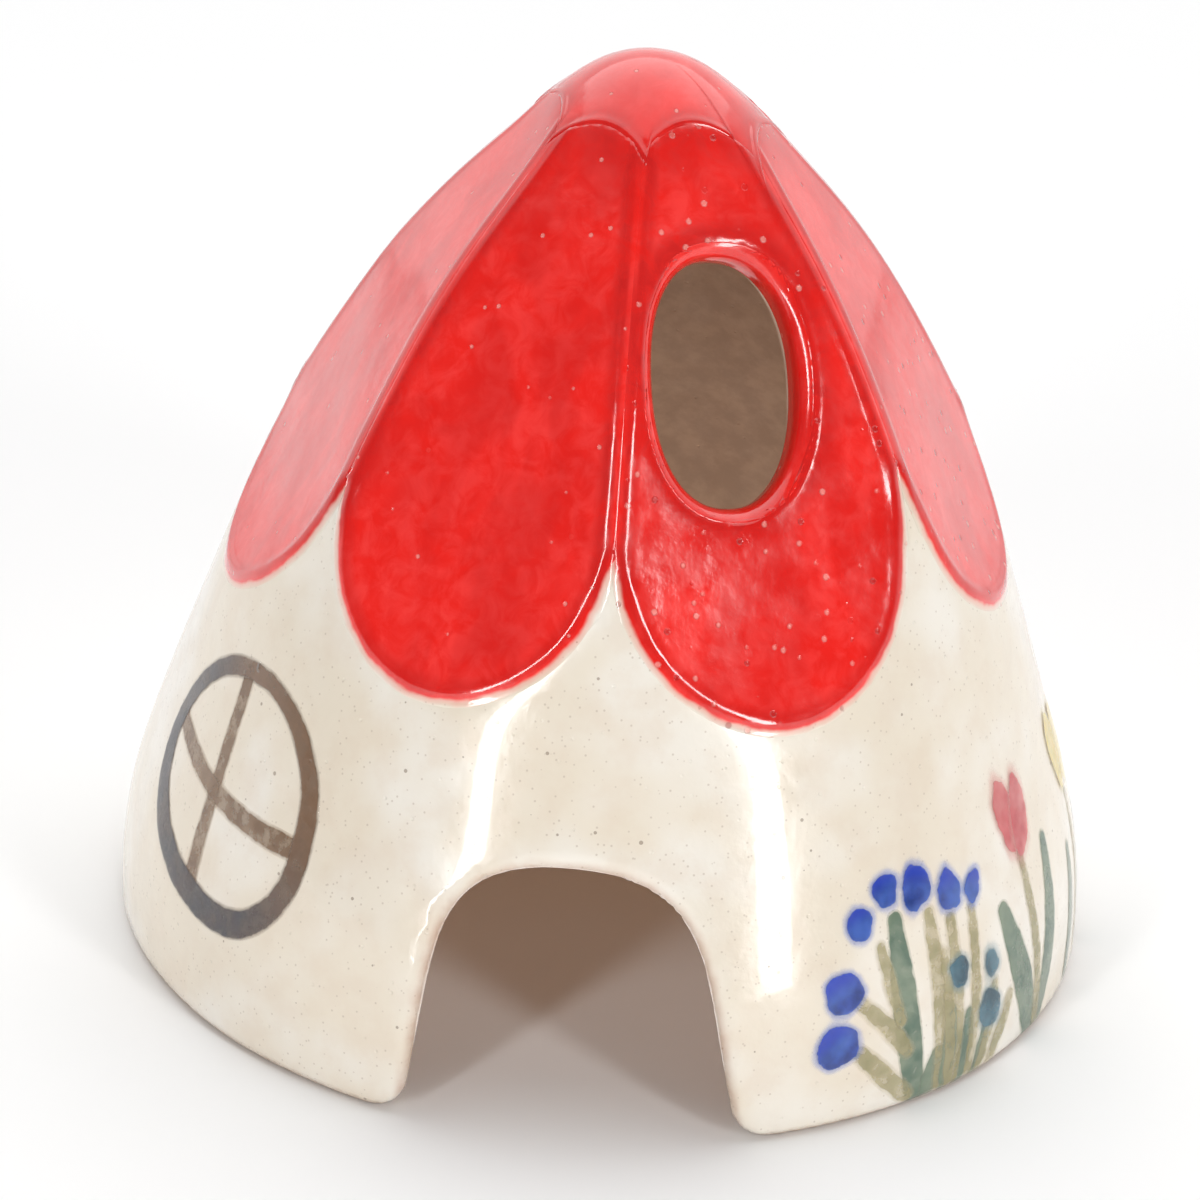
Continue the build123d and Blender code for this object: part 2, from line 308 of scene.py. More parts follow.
def surface_net(form, low, high, cell):
    """Even quad mesh of the surface where a form is zero. Each grid cell that the surface
    crosses has one point, and each grid edge that it crosses has one quad."""
    axes = [np.arange(low[i], high[i] + cell, cell) for i in range(3)]
    shape = [len(a) for a in axes]
    value = np.empty(shape)
    for k in range(shape[0]):
        yy, zz = np.meshgrid(axes[1], axes[2], indexing="ij")
        value[k] = form(np.stack([np.full_like(yy, axes[0][k]), yy, zz], axis=-1))
    inside = value < 0
    total = np.zeros([n - 1 for n in shape] + [3])
    count = np.zeros([n - 1 for n in shape])
    for axis in range(3):
        near, far = edge_ends(shape, axis)
        a, b = value[near], value[far]
        crossed = inside[near] != inside[far]
        share = np.where(crossed, a / np.where(crossed, a - b, 1), 0)
        others = [i for i in range(3) if i != axis]
        # A crossing counts towards the points of the four cells round its edge.
        for da in (0, 1):
            for db in (0, 1):
                pick = [slice(None)] * 3
                pick[others[0]] = slice(da, da + shape[others[0]] - 1)
                pick[others[1]] = slice(db, db + shape[others[1]] - 1)
                hit = crossed[tuple(pick)]
                count += hit
                total[..., axis] += np.where(hit, share[tuple(pick)], 0)
                total[..., others[0]] += hit * da
                total[..., others[1]] += hit * db
    used = count > 0
    number = np.full(used.shape, -1)
    number[used] = np.arange(used.sum())
    where = np.argwhere(used)
    points = (where + total[used] / count[used][:, None]) * cell + np.array(low)
    quads = []
    for axis in range(3):
        near, far = edge_ends(shape, axis)
        a, b = inside[near], inside[far]
        i, j = (axis + 1) % 3, (axis + 2) % 3
        for crossed, flip in ((a & ~b, False), (~a & b, True)):
            at = np.argwhere(crossed)
            at = at[(at[:, i] > 0) & (at[:, j] > 0)]
            corners = []
            for di, dj in ((-1, -1), (0, -1), (0, 0), (-1, 0)):
                c = at.copy()
                c[:, i] += di
                c[:, j] += dj
                corners.append(number[c[:, 0], c[:, 1], c[:, 2]])
            quads.append(np.stack(corners[::-1] if flip else corners, axis=1))
    return points, np.concatenate(quads)


def make_object(node, points, faces, marks):
    """Piece shown in place of a CAD node; marks are values per point for its material."""
    name = node + "_shown"
    mesh = bpy.data.meshes.new(name)
    mesh.from_pydata((np.asarray(points) * MM).tolist(), [], [list(f) for f in faces])
    mesh.validate()
    for key, values in marks.items():
        layer = mesh.attributes.new(key, "FLOAT", "POINT")
        layer.data.foreach_set("value", np.asarray(values, np.float32))
    mesh.polygons.foreach_set("use_smooth", np.ones(len(mesh.polygons), bool))
    piece = bpy.data.objects.new(name, mesh)
    bpy.context.scene.collection.objects.link(piece)
    return piece


# ---- petals as patches of glaze -----------------------------------------------------
def ease(low, high, t):
    """Smooth step from 0 at low to 1 at high."""
    t = np.clip((t - low) / (high - low), 0, 1)
    return t * t * (3 - 2 * t)


def on_wall(azimuth, z, radius):
    """Point at an azimuth (in radians), height and radius."""
    return np.stack([radius * np.sin(azimuth), -radius * np.cos(azimuth), z], axis=-1)


def crease_half(stand, z):
    """Half angle at which a petal's face runs out into the round wall."""
    return np.arccos(np.clip((FACE(z) + stand) / WALL(z), -1, 1))


def ridge_offset(here, other, z):
    """Angle from a petal's middle to the ridge it shares with a neighbour."""
    turn = math.radians((other[1] - here[1] + 180) % 360 - 180)
    mine, theirs = FACE(z) + here[2], FACE(z) + other[2]
    return np.arctan((theirs - mine * math.cos(turn)) / (mine * math.sin(turn)))


def crossing(stand, low, high):
    """Height between low and high where a petal's face meets the round wall."""
    for _ in range(50):
        middle = (low + high) / 2
        same = (FACE(low) + stand > WALL(low)) == (FACE(middle) + stand > WALL(middle))
        low, high = (middle, high) if same else (low, middle)
    return (low + high) / 2


def disc_faces(spokes, rings):
    """Faces of a sheet made of a middle point and rings round it."""
    faces = [(0, 1 + i, 1 + (i + 1) % spokes) for i in range(spokes)]
    for k in range(rings - 2):
        for i in range(spokes):
            j = (i + 1) % spokes
            a = 1 + k * spokes
            faces.append((a + i, a + spokes + i, a + spokes + j, a + j))
    return faces


def film(name, top, faces, marks):
    """Thin closed skin: the given top sheet, and a copy of it sunk into the wall below."""
    used = np.unique(np.concatenate([np.array(face) for face in faces]))
    fresh = np.full(len(top), -1)
    fresh[used] = np.arange(len(used))
    top = top[used]
    faces = [tuple(int(fresh[i]) for i in face) for face in faces]
    marks = {key: values[used] for key, values in marks.items()}
    count = len(top)
    under = top - gradient(pot, top) * FILM_DEPTH
    edges = {}
    for face in faces:
        for a, b in zip(face, face[1:] + face[:1]):
            if (b, a) in edges:
                del edges[(b, a)]
            else:
                edges[(a, b)] = True
    sheet = list(faces)
    sheet += [tuple(count + i for i in face[::-1]) for face in faces]
    sheet += [(b, a, count + a, count + b) for a, b in edges]
    both = {key: np.concatenate([v, v]) for key, v in marks.items()}
    return make_object(name, np.concatenate([top, under]), sheet, both)


def petal_grid(here, before, after, high):
    """Angles from a petal's middle, and heights, of a grid that covers its red coat."""
    rows, columns = 100, 61
    spread = here[2] - EDGE_MARGIN
    wide_low = crossing(spread, 28, 44)
    # The rows lie closer together at the petal's rounded lower end.
    t = (1 - np.cos(np.linspace(0, 1, rows) * math.pi)) / 2
    t = 0.6 * t + 0.4 * np.linspace(0, 1, rows)
    t = t * t * 0.15 + t * 0.85
    z = wide_low + 0.02 + (high + 0.35 - wide_low - 0.04) * t
    wide = crease_half(spread, z)
    margin = RIDGE_MARGIN / WALL(z)
    left = np.maximum(-wide, ridge_offset(here, before, z) - margin)
    right = np.minimum(wide, ridge_offset(here, after, z) + margin)
    u = np.linspace(-1, 1, columns)
    u = 0.75 * u + 0.25 * np.sin(u * math.pi / 2)
    turn = left[:, None] + (right - left)[:, None] * (u + 1) / 2
    return turn, np.repeat(z[:, None], columns, axis=1)


def edge_line(here, before, after, low):
    """Points along the lower edge of a petal's red coat, on the wall below the ridges."""
    middle, stand = math.radians(here[1]), here[2]
    z = low + (RIDGES_FROM - low) * np.linspace(0, 1, 400) ** 2
    turn = crease_half(stand, z)
    sides = []
    for sign, other in ((-1, before), (1, after)):
        limit = ridge_offset(here, other, z)
        keep = -turn >= limit if sign < 0 else turn <= limit
        sides.append(on_wall(middle + sign * turn[keep], z[keep], WALL(z[keep])))
    return np.concatenate(sides)


def distance_to(line, points):
    """Distance from each point to the nearest point of a line."""
    gap = np.full(len(points), 1e9)
    for start in range(0, len(line), 100):
        d = points[:, None, :] - line[None, start:start + 100, :]
        gap = np.minimum(gap, np.sqrt((d * d).sum(-1)).min(1))
    return gap


def petal(index):
    """Coat of red glaze on one petal. Its marks are the distance in from the coat's
    lower edge, and how much deeper its red is made: thick glaze in the bead along each
    ridge, and painted shade near the crown and round the oval opening."""
    here = PETALS[index]
    before, after = PETALS[index - 1], PETALS[(index + 1) % len(PETALS)]
    name, azimuth, stand = here
    low = crossing(stand, 32, 44)
    high = crossing(stand, 83, 88)
    turn, zz = petal_grid(here, before, after, high)
    rows, columns = turn.shape
    radius = np.minimum(WALL(zz), (FACE(zz) + stand) / np.cos(turn))
    flat = on_wall(math.radians(azimuth) + turn, zz, radius).reshape(-1, 3)

    gap = distance_to(edge_line(here, before, after, low), flat)
    inside = ((np.abs(turn) <= crease_half(stand, zz)) & (zz > low)).ravel()
    high_up = zz.ravel() > RIDGES_FROM
    edge = np.where(inside | high_up, gap, -gap)
    past = np.maximum(ridge_offset(here, before, zz) - turn,
                      turn - ridge_offset(here, after, zz))
    past = (past * WALL(zz)).ravel()
    beyond = ((np.abs(turn) - crease_half(stand, zz)) * WALL(zz)).ravel()
    hole = opening(flat)

    # The coat thins out at its lower edge, and dips into the wall beyond it and beyond
    # each ridge.
    lift = GLAZE * ease(-0.75, 1.1, edge) - EDGE_DIP * ease(0.55, 0.95, -edge)
    lift += COAT_STEP * (index % 3) - RIDGE_DIP * ease(0.12, RIDGE_MARGIN, past)
    lift += LIP * np.exp(-((edge - 0.95) / 0.5) ** 2)
    lift += BEAD * np.exp(-((past + 0.95) / 0.36) ** 2)
    # It dips under the crown's coat, and under the lining of the oval opening.
    lift -= np.where(high_up, RIDGE_DIP * ease(0.15, 0.5, beyond), 0)
    lift -= RIDGE_DIP * ease(0.1, 0.35, zz.ravel() - high)
    if name == OPENING_PETAL:
        lift -= LINING_DIP * ease(0.1, 0.7, 0.9 - hole)
    top = settle(pot, flat, lift)
    faces = []
    for i in range(rows - 1):
        for j in range(columns - 1):
            a = i * columns + j
            face = (a, a + 1, a + columns + 1, a + columns)
            if name != OPENING_PETAL or hole[list(face)].min() > 0.0:
                faces.append(face)

    # Deeper red in the glaze bead along each ridge; near the crown and round the oval
    # opening the deeper red is painted shade.
    near_ridge = ease(-2.6, -0.6, past) * (1 - ease(-0.7, -0.1, past))
    near_crown = 1 - ease(1.0, 6.5, high - zz.ravel())
    pool_and_shade = np.maximum(near_ridge, 0.7 * near_crown)
    if name == OPENING_PETAL:
        pool_and_shade = np.maximum(pool_and_shade, 1 - ease(1.2, 4.5, hole))
    return film("petal_glaze_" + name, top, faces, {"edge": edge, "pool_and_shade": pool_and_shade})


def crown():
    """Rounded cap of glaze that reaches down in points between the petals."""
    spokes, rings = 210, 34
    angle = np.linspace(-math.pi, math.pi, spokes, endpoint=False)
    z = np.linspace(78, 88, 400)
    # The cap's lower edge is where each petal's face runs out into the round wall.
    foot = np.full(spokes, 1e9)
    for _, azimuth, stand in PETALS:
        turn = np.abs((angle - math.radians(azimuth) + math.pi) % (2 * math.pi) - math.pi)
        half = crease_half(stand, z)
        top = np.interp(turn, half[::-1], z[::-1])
        foot = np.where(turn < math.pi / 6.5, np.minimum(foot, top), foot)
    foot = foot - CROWN_MARGIN
    share = np.linspace(0, 1, rings) ** 0.8
    radius = np.concatenate([[0], (WALL(foot)[:, None] * share[None, 1:]).T.ravel()])
    around = np.concatenate([[0], np.tile(angle, rings - 1)])
    steep, blunt = CROWN_CAP
    height = HEIGHT + blunt - np.sqrt(blunt ** 2 + (steep * radius) ** 2)
    limit = np.concatenate([[foot[0]], np.tile(foot, rings - 1)])
    flat = on_wall(around, np.maximum(height, limit), radius)
    ring = np.concatenate([[0], np.repeat(share[1:], spokes)])
    lift = GLAZE - CROWN_LOWER - RIDGE_DIP * ease(0.975, 1.0, ring)
    lift += LIP * np.exp(-((ring - 0.93) / 0.03) ** 2)
    top = settle(pot, flat, lift)
    # The red is made deeper towards the cap's lower edge: partly its thick lip, partly
    # painted shade where it meets the petals.
    marks = {"edge": np.full(len(top), 9.0), "pool_and_shade": ease(0.70, 0.95, ring)}
    return film("crown_glaze", top, disc_faces(spokes, rings), marks)


def lining():
    """Glaze that rolls over the oval opening's rim and down its wall."""
    spokes, rings = 180, 34
    # Places on the way over the rim: distance outside the oval, and depth into it.
    path = np.array([(1.5, 0), (1.2, 0), (0.9, 0.05), (0.6, 0.2), (0.35, 0.45),
                     (0.15, 0.85), (0.03, 1.4), (0, 2.0), (0, 2.6), (0.03, 3.2),
                     (0.15, 3.7)])
    t = np.linspace(0, len(path) - 1, rings)
    out = np.interp(t, np.arange(len(path)), path[:, 0])
    deep = np.interp(t, np.arange(len(path)), path[:, 1])
    angle = np.linspace(0, 2 * math.pi, spokes, endpoint=False)
    c, s = np.cos(angle), np.sin(angle)
    bulge = 2 / OPENING_POWER
    u = (OPENING_HALF[0] + out[:, None]) * np.sign(c) * np.abs(c) ** bulge
    v = (OPENING_HALF[1] + out[:, None]) * np.sign(s) * np.abs(s) ** bulge
    start = HOLE_CENTRE + u[..., None] * HOLE_RIGHT + v[..., None] * HOLE_UP
    start = settle(outer, start.reshape(-1, 3), 0)
    deep_all = np.repeat(deep, spokes)
    out_all = np.repeat(out, spokes)
    flat = start - HOLE_OUT * deep_all[:, None]
    lift = GLAZE - LINING_LOWER - RIDGE_DIP * ease(1.35, 1.5, out_all)
    lift -= LINING_DIP * ease(2.7, 3.6, deep_all)
    top = settle(pot, flat, lift)
    faces = []
    for k in range(rings - 1):
        for i in range(spokes):
            j = (i + 1) % spokes
            a = k * spokes
            faces.append((a + i, a + j, a + spokes + j, a + spokes + i)[::-1])
    # The red is made deeper the further it runs down into the opening: painted shade.
    marks = {"edge": 3.4 - deep_all, "pool_and_shade": ease(0.2, 1.4, deep_all)}
    return film("opening_glaze", top, faces, marks)


# ---- brush marks --------------------------------------------------------------------
# Each mark is a flat sheet on the unrolled wall: its points, its faces, the distance in
# from its edge, and the share of the way along it (for a dab, up it).
def ribbon(points, widths, closed=False):
    """Brush stroke through (azimuth in degrees, height) points, with its width at each."""
    line = np.array([(math.radians(a) * UNROLL, z) for a, z in points])
    if closed:
        line = np.concatenate([line[-3:], line, line[:4]])
        widths = list(widths[-3:]) + list(widths) + list(widths[:4])
    gaps = np.sqrt((np.diff(line, axis=0) ** 2).sum(1))
    along = np.concatenate([[0], np.cumsum(gaps)])
    fx = smooth_curve(np.stack([along, line[:, 0]], axis=1))
    fy = smooth_curve(np.stack([along, line[:, 1]], axis=1))
    fw = smooth_curve(np.stack([along, widths], axis=1))
    first, last = (along[3], along[-4]) if closed else (0, along[-1])
    count = max(int((last - first) / STROKE_STEP), 6)
    t = np.linspace(first, last, count + 1)
    over = np.zeros(len(t))
    if not closed:
        low = fw(0) / 2 + STROKE_MARGIN
        high = fw(last) / 2 + STROKE_MARGIN
        caps = np.sin(np.linspace(0.1, 0.98, STROKE_CAP_ROWS) * math.pi / 2)
        t = np.concatenate([np.full(STROKE_CAP_ROWS, first), t,
                            np.full(STROKE_CAP_ROWS, last)])
        over = np.concatenate([-(low * caps)[::-1], over, high * caps])
    dx, dy = fx(t + 0.05) - fx(t - 0.05), fy(t + 0.05) - fy(t - 0.05)
    size = np.sqrt(dx * dx + dy * dy)
    dx, dy = dx / size, dy / size
    half = fw(t) / 2
    reach = np.sqrt(np.maximum((half + STROKE_MARGIN) ** 2 - over ** 2, 0.0004))
    columns = STROKE_COLUMNS
    side = reach[:, None] * np.linspace(-1, 1, columns)
    x = (fx(t) + dx * over)[:, None] - dy[:, None] * side
    y = (fy(t) + dy * over)[:, None] + dx[:, None] * side
    ink = half[:, None] - np.sqrt(side ** 2 + over[:, None] ** 2)
    share = (t - first) / (last - first)
    rows = len(t)
    faces = []
    for i in range(rows if closed else rows - 1):
        here, there = i * columns, (i + 1) % rows * columns
        for j in range(columns - 1):
            faces.append((there + j, there + j + 1, here + j + 1, here + j))
    flat = np.stack([x.ravel(), y.ravel()], axis=1)
    return flat, faces, ink.ravel(), np.repeat(share, columns)


def dab(azimuth, z, width, length, lean, seed=0.0):
    """Rounded touch of the brush; the seed sets how its outline is uneven."""
    spokes, rings = 36, 11
    angle = np.linspace(0, 2 * math.pi, spokes, endpoint=False)
    rough = 1 + 0.05 * np.sin(3 * angle + seed) + 0.035 * np.sin(5 * angle + 2 * seed)
    small = min(width, length) / 2
    reach = 1 + DAB_MARGIN / small
    ring = np.concatenate([[0], np.repeat(np.linspace(0, reach, rings)[1:], spokes)])
    turn = np.concatenate([[0], np.tile(angle, rings - 1)])
    form = np.concatenate([[1], np.tile(rough, rings - 1)])
    a = ring * form * width / 2 * np.cos(turn)
    b = ring * form * length / 2 * np.sin(turn)
    c, s = math.cos(lean), math.sin(lean)
    x = math.radians(azimuth) * UNROLL + a * c - b * s
    y = z + a * s + b * c
    ink = (1 - ring) * small
    share = 0.5 + 0.5 * b / (length / 2 * reach)
    return np.stack([x, y], axis=1), disc_faces(spokes, rings), ink, share


def painted(name, marks, first_lift):
    """One colour's marks as a group of thin skins, each a hair above the one before."""
    tops, faces, inks, shares, start = [], [], [], [], 0
    for number, (flat, mark_faces, ink, share) in enumerate(marks):
        place = on_wall(flat[:, 0] / UNROLL, flat[:, 1], WALL(flat[:, 1]))
        place[:, 2] = np.maximum(place[:, 2], MARK_LOWEST)
        rim = np.minimum(ink - ink.min(), MARK_EDGE) / MARK_EDGE
        lift = (first_lift + DAB_STEP * number) * rim - MARK_DIP * (1 - rim)
        tops.append(settle(pot, place, lift))
        faces += [tuple(start + i for i in face) for face in mark_faces]
        inks.append(ink)
        shares.append(share)
        start += len(flat)
    return film(name, np.concatenate(tops), faces,
                {"ink": np.concatenate(inks), "share": np.concatenate(shares)})


# ---- materials ----------------------------------------------------------------------
class Look:
    """A Principled material that is built up with short calls."""

    def __init__(self, name):
        self.material = bpy.data.materials.new(name)
        self.material.use_nodes = True
        self.nodes = self.material.node_tree.nodes
        self.links = self.material.node_tree.links
        self.shader = self.nodes["Principled BSDF"]
        self.place = self.nodes.new("ShaderNodeTexCoord").outputs["Object"]

    def feed(self, target, value):
        """Set a plain value on the socket itself, or link a node's output to it."""
        if isinstance(value, bpy.types.NodeSocket):
            self.links.new(value, target)
        else:
            target.default_value = (*value, 1) if isinstance(value, tuple) else value

    def set(self, socket, value):
        """The same for one of the shader's own sockets."""
        self.feed(self.shader.inputs[socket], value)

    def noise(self, size_mm, detail=3.0, rough=0.55, bend=0.0, stretch=None):
        """Noise between 0 and 1 whose lumps are about size_mm across."""
        where = self.place
        if stretch:
            turn = self.nodes.new("ShaderNodeMapping")
            turn.inputs["Scale"].default_value = stretch
            self.links.new(where, turn.inputs["Vector"])
            where = turn.outputs["Vector"]
        node = self.nodes.new("ShaderNodeTexNoise")
        node.inputs["Scale"].default_value = 1 / (size_mm * MM)
        node.inputs["Detail"].default_value = detail
        node.inputs["Roughness"].default_value = rough
        node.inputs["Distortion"].default_value = bend
        self.links.new(where, node.inputs["Vector"])
        return node.outputs["Fac"]

    def dots(self, size_mm):
        """Distance to scattered points about size_mm apart, as a share of that, and a
        random value for each."""
        node = self.nodes.new("ShaderNodeTexVoronoi")
        node.inputs["Scale"].default_value = 1 / (size_mm * MM)
        self.links.new(self.place, node.inputs["Vector"])
        return node.outputs["Distance"], node.outputs["Color"]

    def mark(self, name):
        """Value that the mesh carries at each point."""
        node = self.nodes.new("ShaderNodeAttribute")
        node.attribute_name = name
        return node.outputs["Fac"]

    def ramp(self, value, low, high, to_low=0.0, to_high=1.0):
        """Smooth change from to_low to to_high as the value goes from low to high."""
        node = self.nodes.new("ShaderNodeMapRange")
        node.interpolation_type = "SMOOTHSTEP"
        node.inputs["From Min"].default_value = low
        node.inputs["From Max"].default_value = high
        node.inputs["To Min"].default_value = to_low
        node.inputs["To Max"].default_value = to_high
        self.links.new(value, node.inputs["Value"])
        return node.outputs["Result"]

    def math(self, how, a, b):
        """Two values put together by one of Blender's math operations."""
        node = self.nodes.new("ShaderNodeMath")
        node.operation = how
        self.feed(node.inputs[0], a)
        self.feed(node.inputs[1], b)
        return node.outputs["Value"]

    def blend(self, share, a, b):
        """Colour a where share is 0 and colour b where it is 1."""
        node = self.nodes.new("ShaderNodeMix")
        node.data_type = "RGBA"
        self.feed(node.inputs["Factor"], share)
        self.feed(node.inputs[6], a)
        self.feed(node.inputs[7], b)
        return node.outputs[2]

    def bump(self, height, depth_mm, below=None):
        """Relief of a height between 0 and 1, on top of the relief below."""
        node = self.nodes.new("ShaderNodeBump")
        node.inputs["Strength"].default_value = 1.0
        node.inputs["Distance"].default_value = depth_mm * MM
        self.links.new(height, node.inputs["Height"])
        if below is not None:
            self.links.new(below, node.inputs["Normal"])
        return node.outputs["Normal"]


# Colours, in linear light.
CREAM = (0.80, 0.715, 0.59)
CREAM_WARM = (0.73, 0.60, 0.47)
CREAM_PALE = (0.86, 0.81, 0.73)
SPECK = (0.22, 0.15, 0.10)
SPECK_FAINT = (0.45, 0.35, 0.27)
TOASTED_RIM = (0.50, 0.27, 0.17)
BARE_CLAY = (0.50, 0.335, 0.225)
BARE_CLAY_DARK = (0.41, 0.27, 0.18)
RED = (0.86, 0.012, 0.007)
RED_BRIGHT = (0.92, 0.040, 0.034)
RED_DEEP = (0.55, 0.005, 0.004)
PINK_BLEED = (0.83, 0.37, 0.29)
BUBBLE_DARK = (0.36, 0.010, 0.010)
BUBBLE_PALE = (0.98, 0.42, 0.36)
INDIGO = (0.045, 0.045, 0.060)
BROWN = (0.155, 0.085, 0.048)


def wall_colour(look):
    """Cream glaze over speckled stoneware, clouded and in places warmer."""
    broad = look.ramp(look.noise(14, 2), 0.38, 0.66)
    cloud = look.ramp(look.noise(4.5, 4), 0.40, 0.72)
    colour = look.blend(broad, CREAM, CREAM_PALE)
    warm = look.math("MULTIPLY", cloud, 0.35)
    colour = look.blend(warm, colour, CREAM_WARM)
    near, chance = look.dots(2.3)
    fine_near, _ = look.dots(0.8)
    size = look.ramp(chance, 0.2, 1.0, 0.02, 0.090)
    speck = look.math("LESS_THAN", near, size)
    faint = look.ramp(fine_near, 0.07, 0.18, 0.45, 0.0)
    colour = look.blend(faint, colour, SPECK_FAINT)
    return look.blend(look.math("MULTIPLY", speck, 0.60), colour, SPECK)


def wall_bump(look):
    """Hand-made lumps, orange peel, a fine grain and pinholes."""
    lumps = look.bump(look.noise(7.5, 2, 0.5), 0.20)
    orange_peel = look.bump(look.noise(1.7, 3, 0.5), 0.035, below=lumps)
    grain = look.bump(look.noise(0.7, 2, 0.5), 0.014, below=orange_peel)
    pin, _ = look.dots(2.1)
    hole = look.ramp(pin, 0.03, 0.11)
    return look.bump(hole, 0.05, below=grain)


def wall_roughness(look):
    """Clear glaze, glossier in some patches than in others."""
    return look.ramp(look.noise(5, 3), 0.3, 0.7, 0.17, 0.27)


def cream_look():
    """The clay body: glazed cream outside, bare in the hollow and toasted at the rims."""
    look = Look("cream_stoneware_glaze")
    colour = wall_colour(look)
    glazed = look.mark("glazed")
    clay_noise = look.ramp(look.noise(3.0, 5, 0.65), 0.35, 0.7)
    clay = look.blend(clay_noise, BARE_CLAY_DARK, BARE_CLAY)
    toasted = look.ramp(look.mark("rim"), 0.0, 1.0, 0.0, 0.62)
    edge_noise = look.ramp(look.noise(2.2, 3), 0.3, 0.7, 0.45, 1.0)
    colour = look.blend(look.math("MULTIPLY", toasted, edge_noise), colour, TOASTED_RIM)
    colour = look.blend(glazed, clay, colour)
    look.set("Base Color", colour)
    bare = look.math("SUBTRACT", 1.0, glazed)
    rough = look.math("ADD", wall_roughness(look), look.math("MULTIPLY", bare, 0.5))
    look.set("Roughness", rough)
    look.set("Normal", wall_bump(look))
    look.set("IOR", 1.5)
    look.set("Specular IOR Level", 0.5)
    look.set("Coat Weight", look.math("MULTIPLY", glazed, 0.5))
    look.set("Coat Roughness", 0.05)
    return look


def red_look(name, bubbles, bubble_size):
    """Thick glossy red glaze that bleeds pale where it runs thin, and is made a deeper red
    where it pools and where shade is painted.

    bubbles is the share of the scattered spots that show, and bubble_size their size."""
    look = Look(name)
    edge = look.mark("edge")
    pool_and_shade = look.mark("pool_and_shade")
    wander = look.ramp(look.noise(3.0, 2, 0.5), 0.25, 0.75, -0.16, 0.16)
    where = look.math("ADD", edge, wander)
    mottle = look.ramp(look.noise(2.6, 5, 0.62, 0.6), 0.36, 0.68)
    streak = look.ramp(look.noise(6.5, 3, 0.5, 0.4, (1.0, 1.0, 0.45)), 0.36, 0.66)
    red = look.blend(mottle, RED, RED_BRIGHT)
    red = look.blend(look.math("MULTIPLY", streak, 0.45), red, RED_DEEP)
    # Deeper red by the mesh's mark: thick glaze in beads and lips, and painted shade at the
    # crown's edge and round and in the oval opening.
    uneven = look.ramp(mottle, 0.0, 1.0, 0.45, 0.85)
    pooled_and_shaded = look.math("MULTIPLY", look.ramp(pool_and_shade, 0.0, 1.0), uneven)
    red = look.blend(pooled_and_shaded, red, RED_DEEP)
    lip = look.math("MULTIPLY", look.ramp(where, 0.15, 0.8), look.ramp(where, 2.4, 1.0))
    red = look.blend(look.math("MULTIPLY", lip, 0.45), red, RED_DEEP)
    halo = look.ramp(where, -0.75, -0.05)
    colour = look.blend(look.math("MULTIPLY", halo, 0.62), wall_colour(look), PINK_BLEED)
    colour = look.blend(look.ramp(where, -0.16, 0.28), colour, red)
    near, chance = look.dots(1.7)
    bubble = look.ramp(near, bubble_size / 2, bubble_size)
    kept = look.ramp(chance, 1 - bubbles, 1.03 - bubbles)
    pin = look.math("MAXIMUM", bubble, look.math("SUBTRACT", 1.0, kept))
    pin_tint = look.math("MULTIPLY", look.math("SUBTRACT", 1.0, pin), 0.5)
    pale = look.ramp(chance, 0.60, 0.64)
    pin_colour = look.blend(pale, BUBBLE_DARK, BUBBLE_PALE)
    colour = look.blend(pin_tint, colour, pin_colour)
    look.set("Base Color", colour)
    look.set("Roughness", look.ramp(look.noise(4, 4), 0.35, 0.7, 0.10, 0.24))
    lumps = look.bump(look.noise(6.5, 2, 0.5), 0.17)
    peel = look.bump(look.noise(1.5, 3, 0.5), 0.035, below=lumps)
    look.set("Normal", look.bump(pin, 0.10, below=peel))
    look.set("Specular IOR Level", 0.55)
    look.set("Coat Weight", 0.7)
    look.set("Coat Roughness", 0.06)
    return look


def brush_look(name, middle, dark, halo, cover, watery, reach=0.55, rough_edge=0.10,
               glow=0.30, second=None, turn=(0.56, 0.76)):
    """Ceramic colour brushed on the wall: uneven, soft at its edge, under clear glaze.

    middle, dark and halo are its colours; cover and watery say how well it hides the
    wall; the halo reaches out by reach and is as strong as glow; a second colour takes
    over from turn on and at the very start."""
    look = Look(name)
    ink = look.mark("ink")
    wander = look.ramp(look.noise(1.7, 3, 0.5), 0.25, 0.75, -rough_edge, rough_edge)
    where = look.math("ADD", ink, wander)
    patch = look.ramp(look.noise(1.5, 4, 0.6), 0.34, 0.70)
    wash = look.ramp(look.noise(3.5, 2), 0.35, 0.7)
    colour = look.blend(patch, dark, middle)
    colour = look.blend(look.math("MULTIPLY", wash, 0.35), colour, halo)
    if second:
        share = look.mark("share")
        other = look.math("MAXIMUM", look.ramp(share, 0.12, 0.0), look.ramp(share, *turn))
        colour = look.blend(look.math("MULTIPLY", other, 0.9), colour, second)
    body = look.ramp(where, -0.08, 0.20)
    bloom = look.ramp(where, -reach, 0.10)
    colour = look.blend(body, halo, colour)
    look.set("Base Color", colour)
    thin = look.ramp(patch, 0.0, 1.0, cover, cover - 0.45 * watery)
    solid = look.math("MULTIPLY", body, thin)
    soft = look.math("MULTIPLY", bloom, glow)
    look.set("Alpha", look.math("MAXIMUM", solid, soft))
    look.set("Roughness", wall_roughness(look))
    look.set("Normal", wall_bump(look))
    look.set("Coat Weight", 0.5)
    look.set("Coat Roughness", 0.05)
    return look


def dress(piece, look, node):
    """Give a piece its material, attach it to the root body, and hide the CAD part it
    stands in for.
    """
    piece.data.materials.append(look.material)
    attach(piece, "root")
    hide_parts(node)


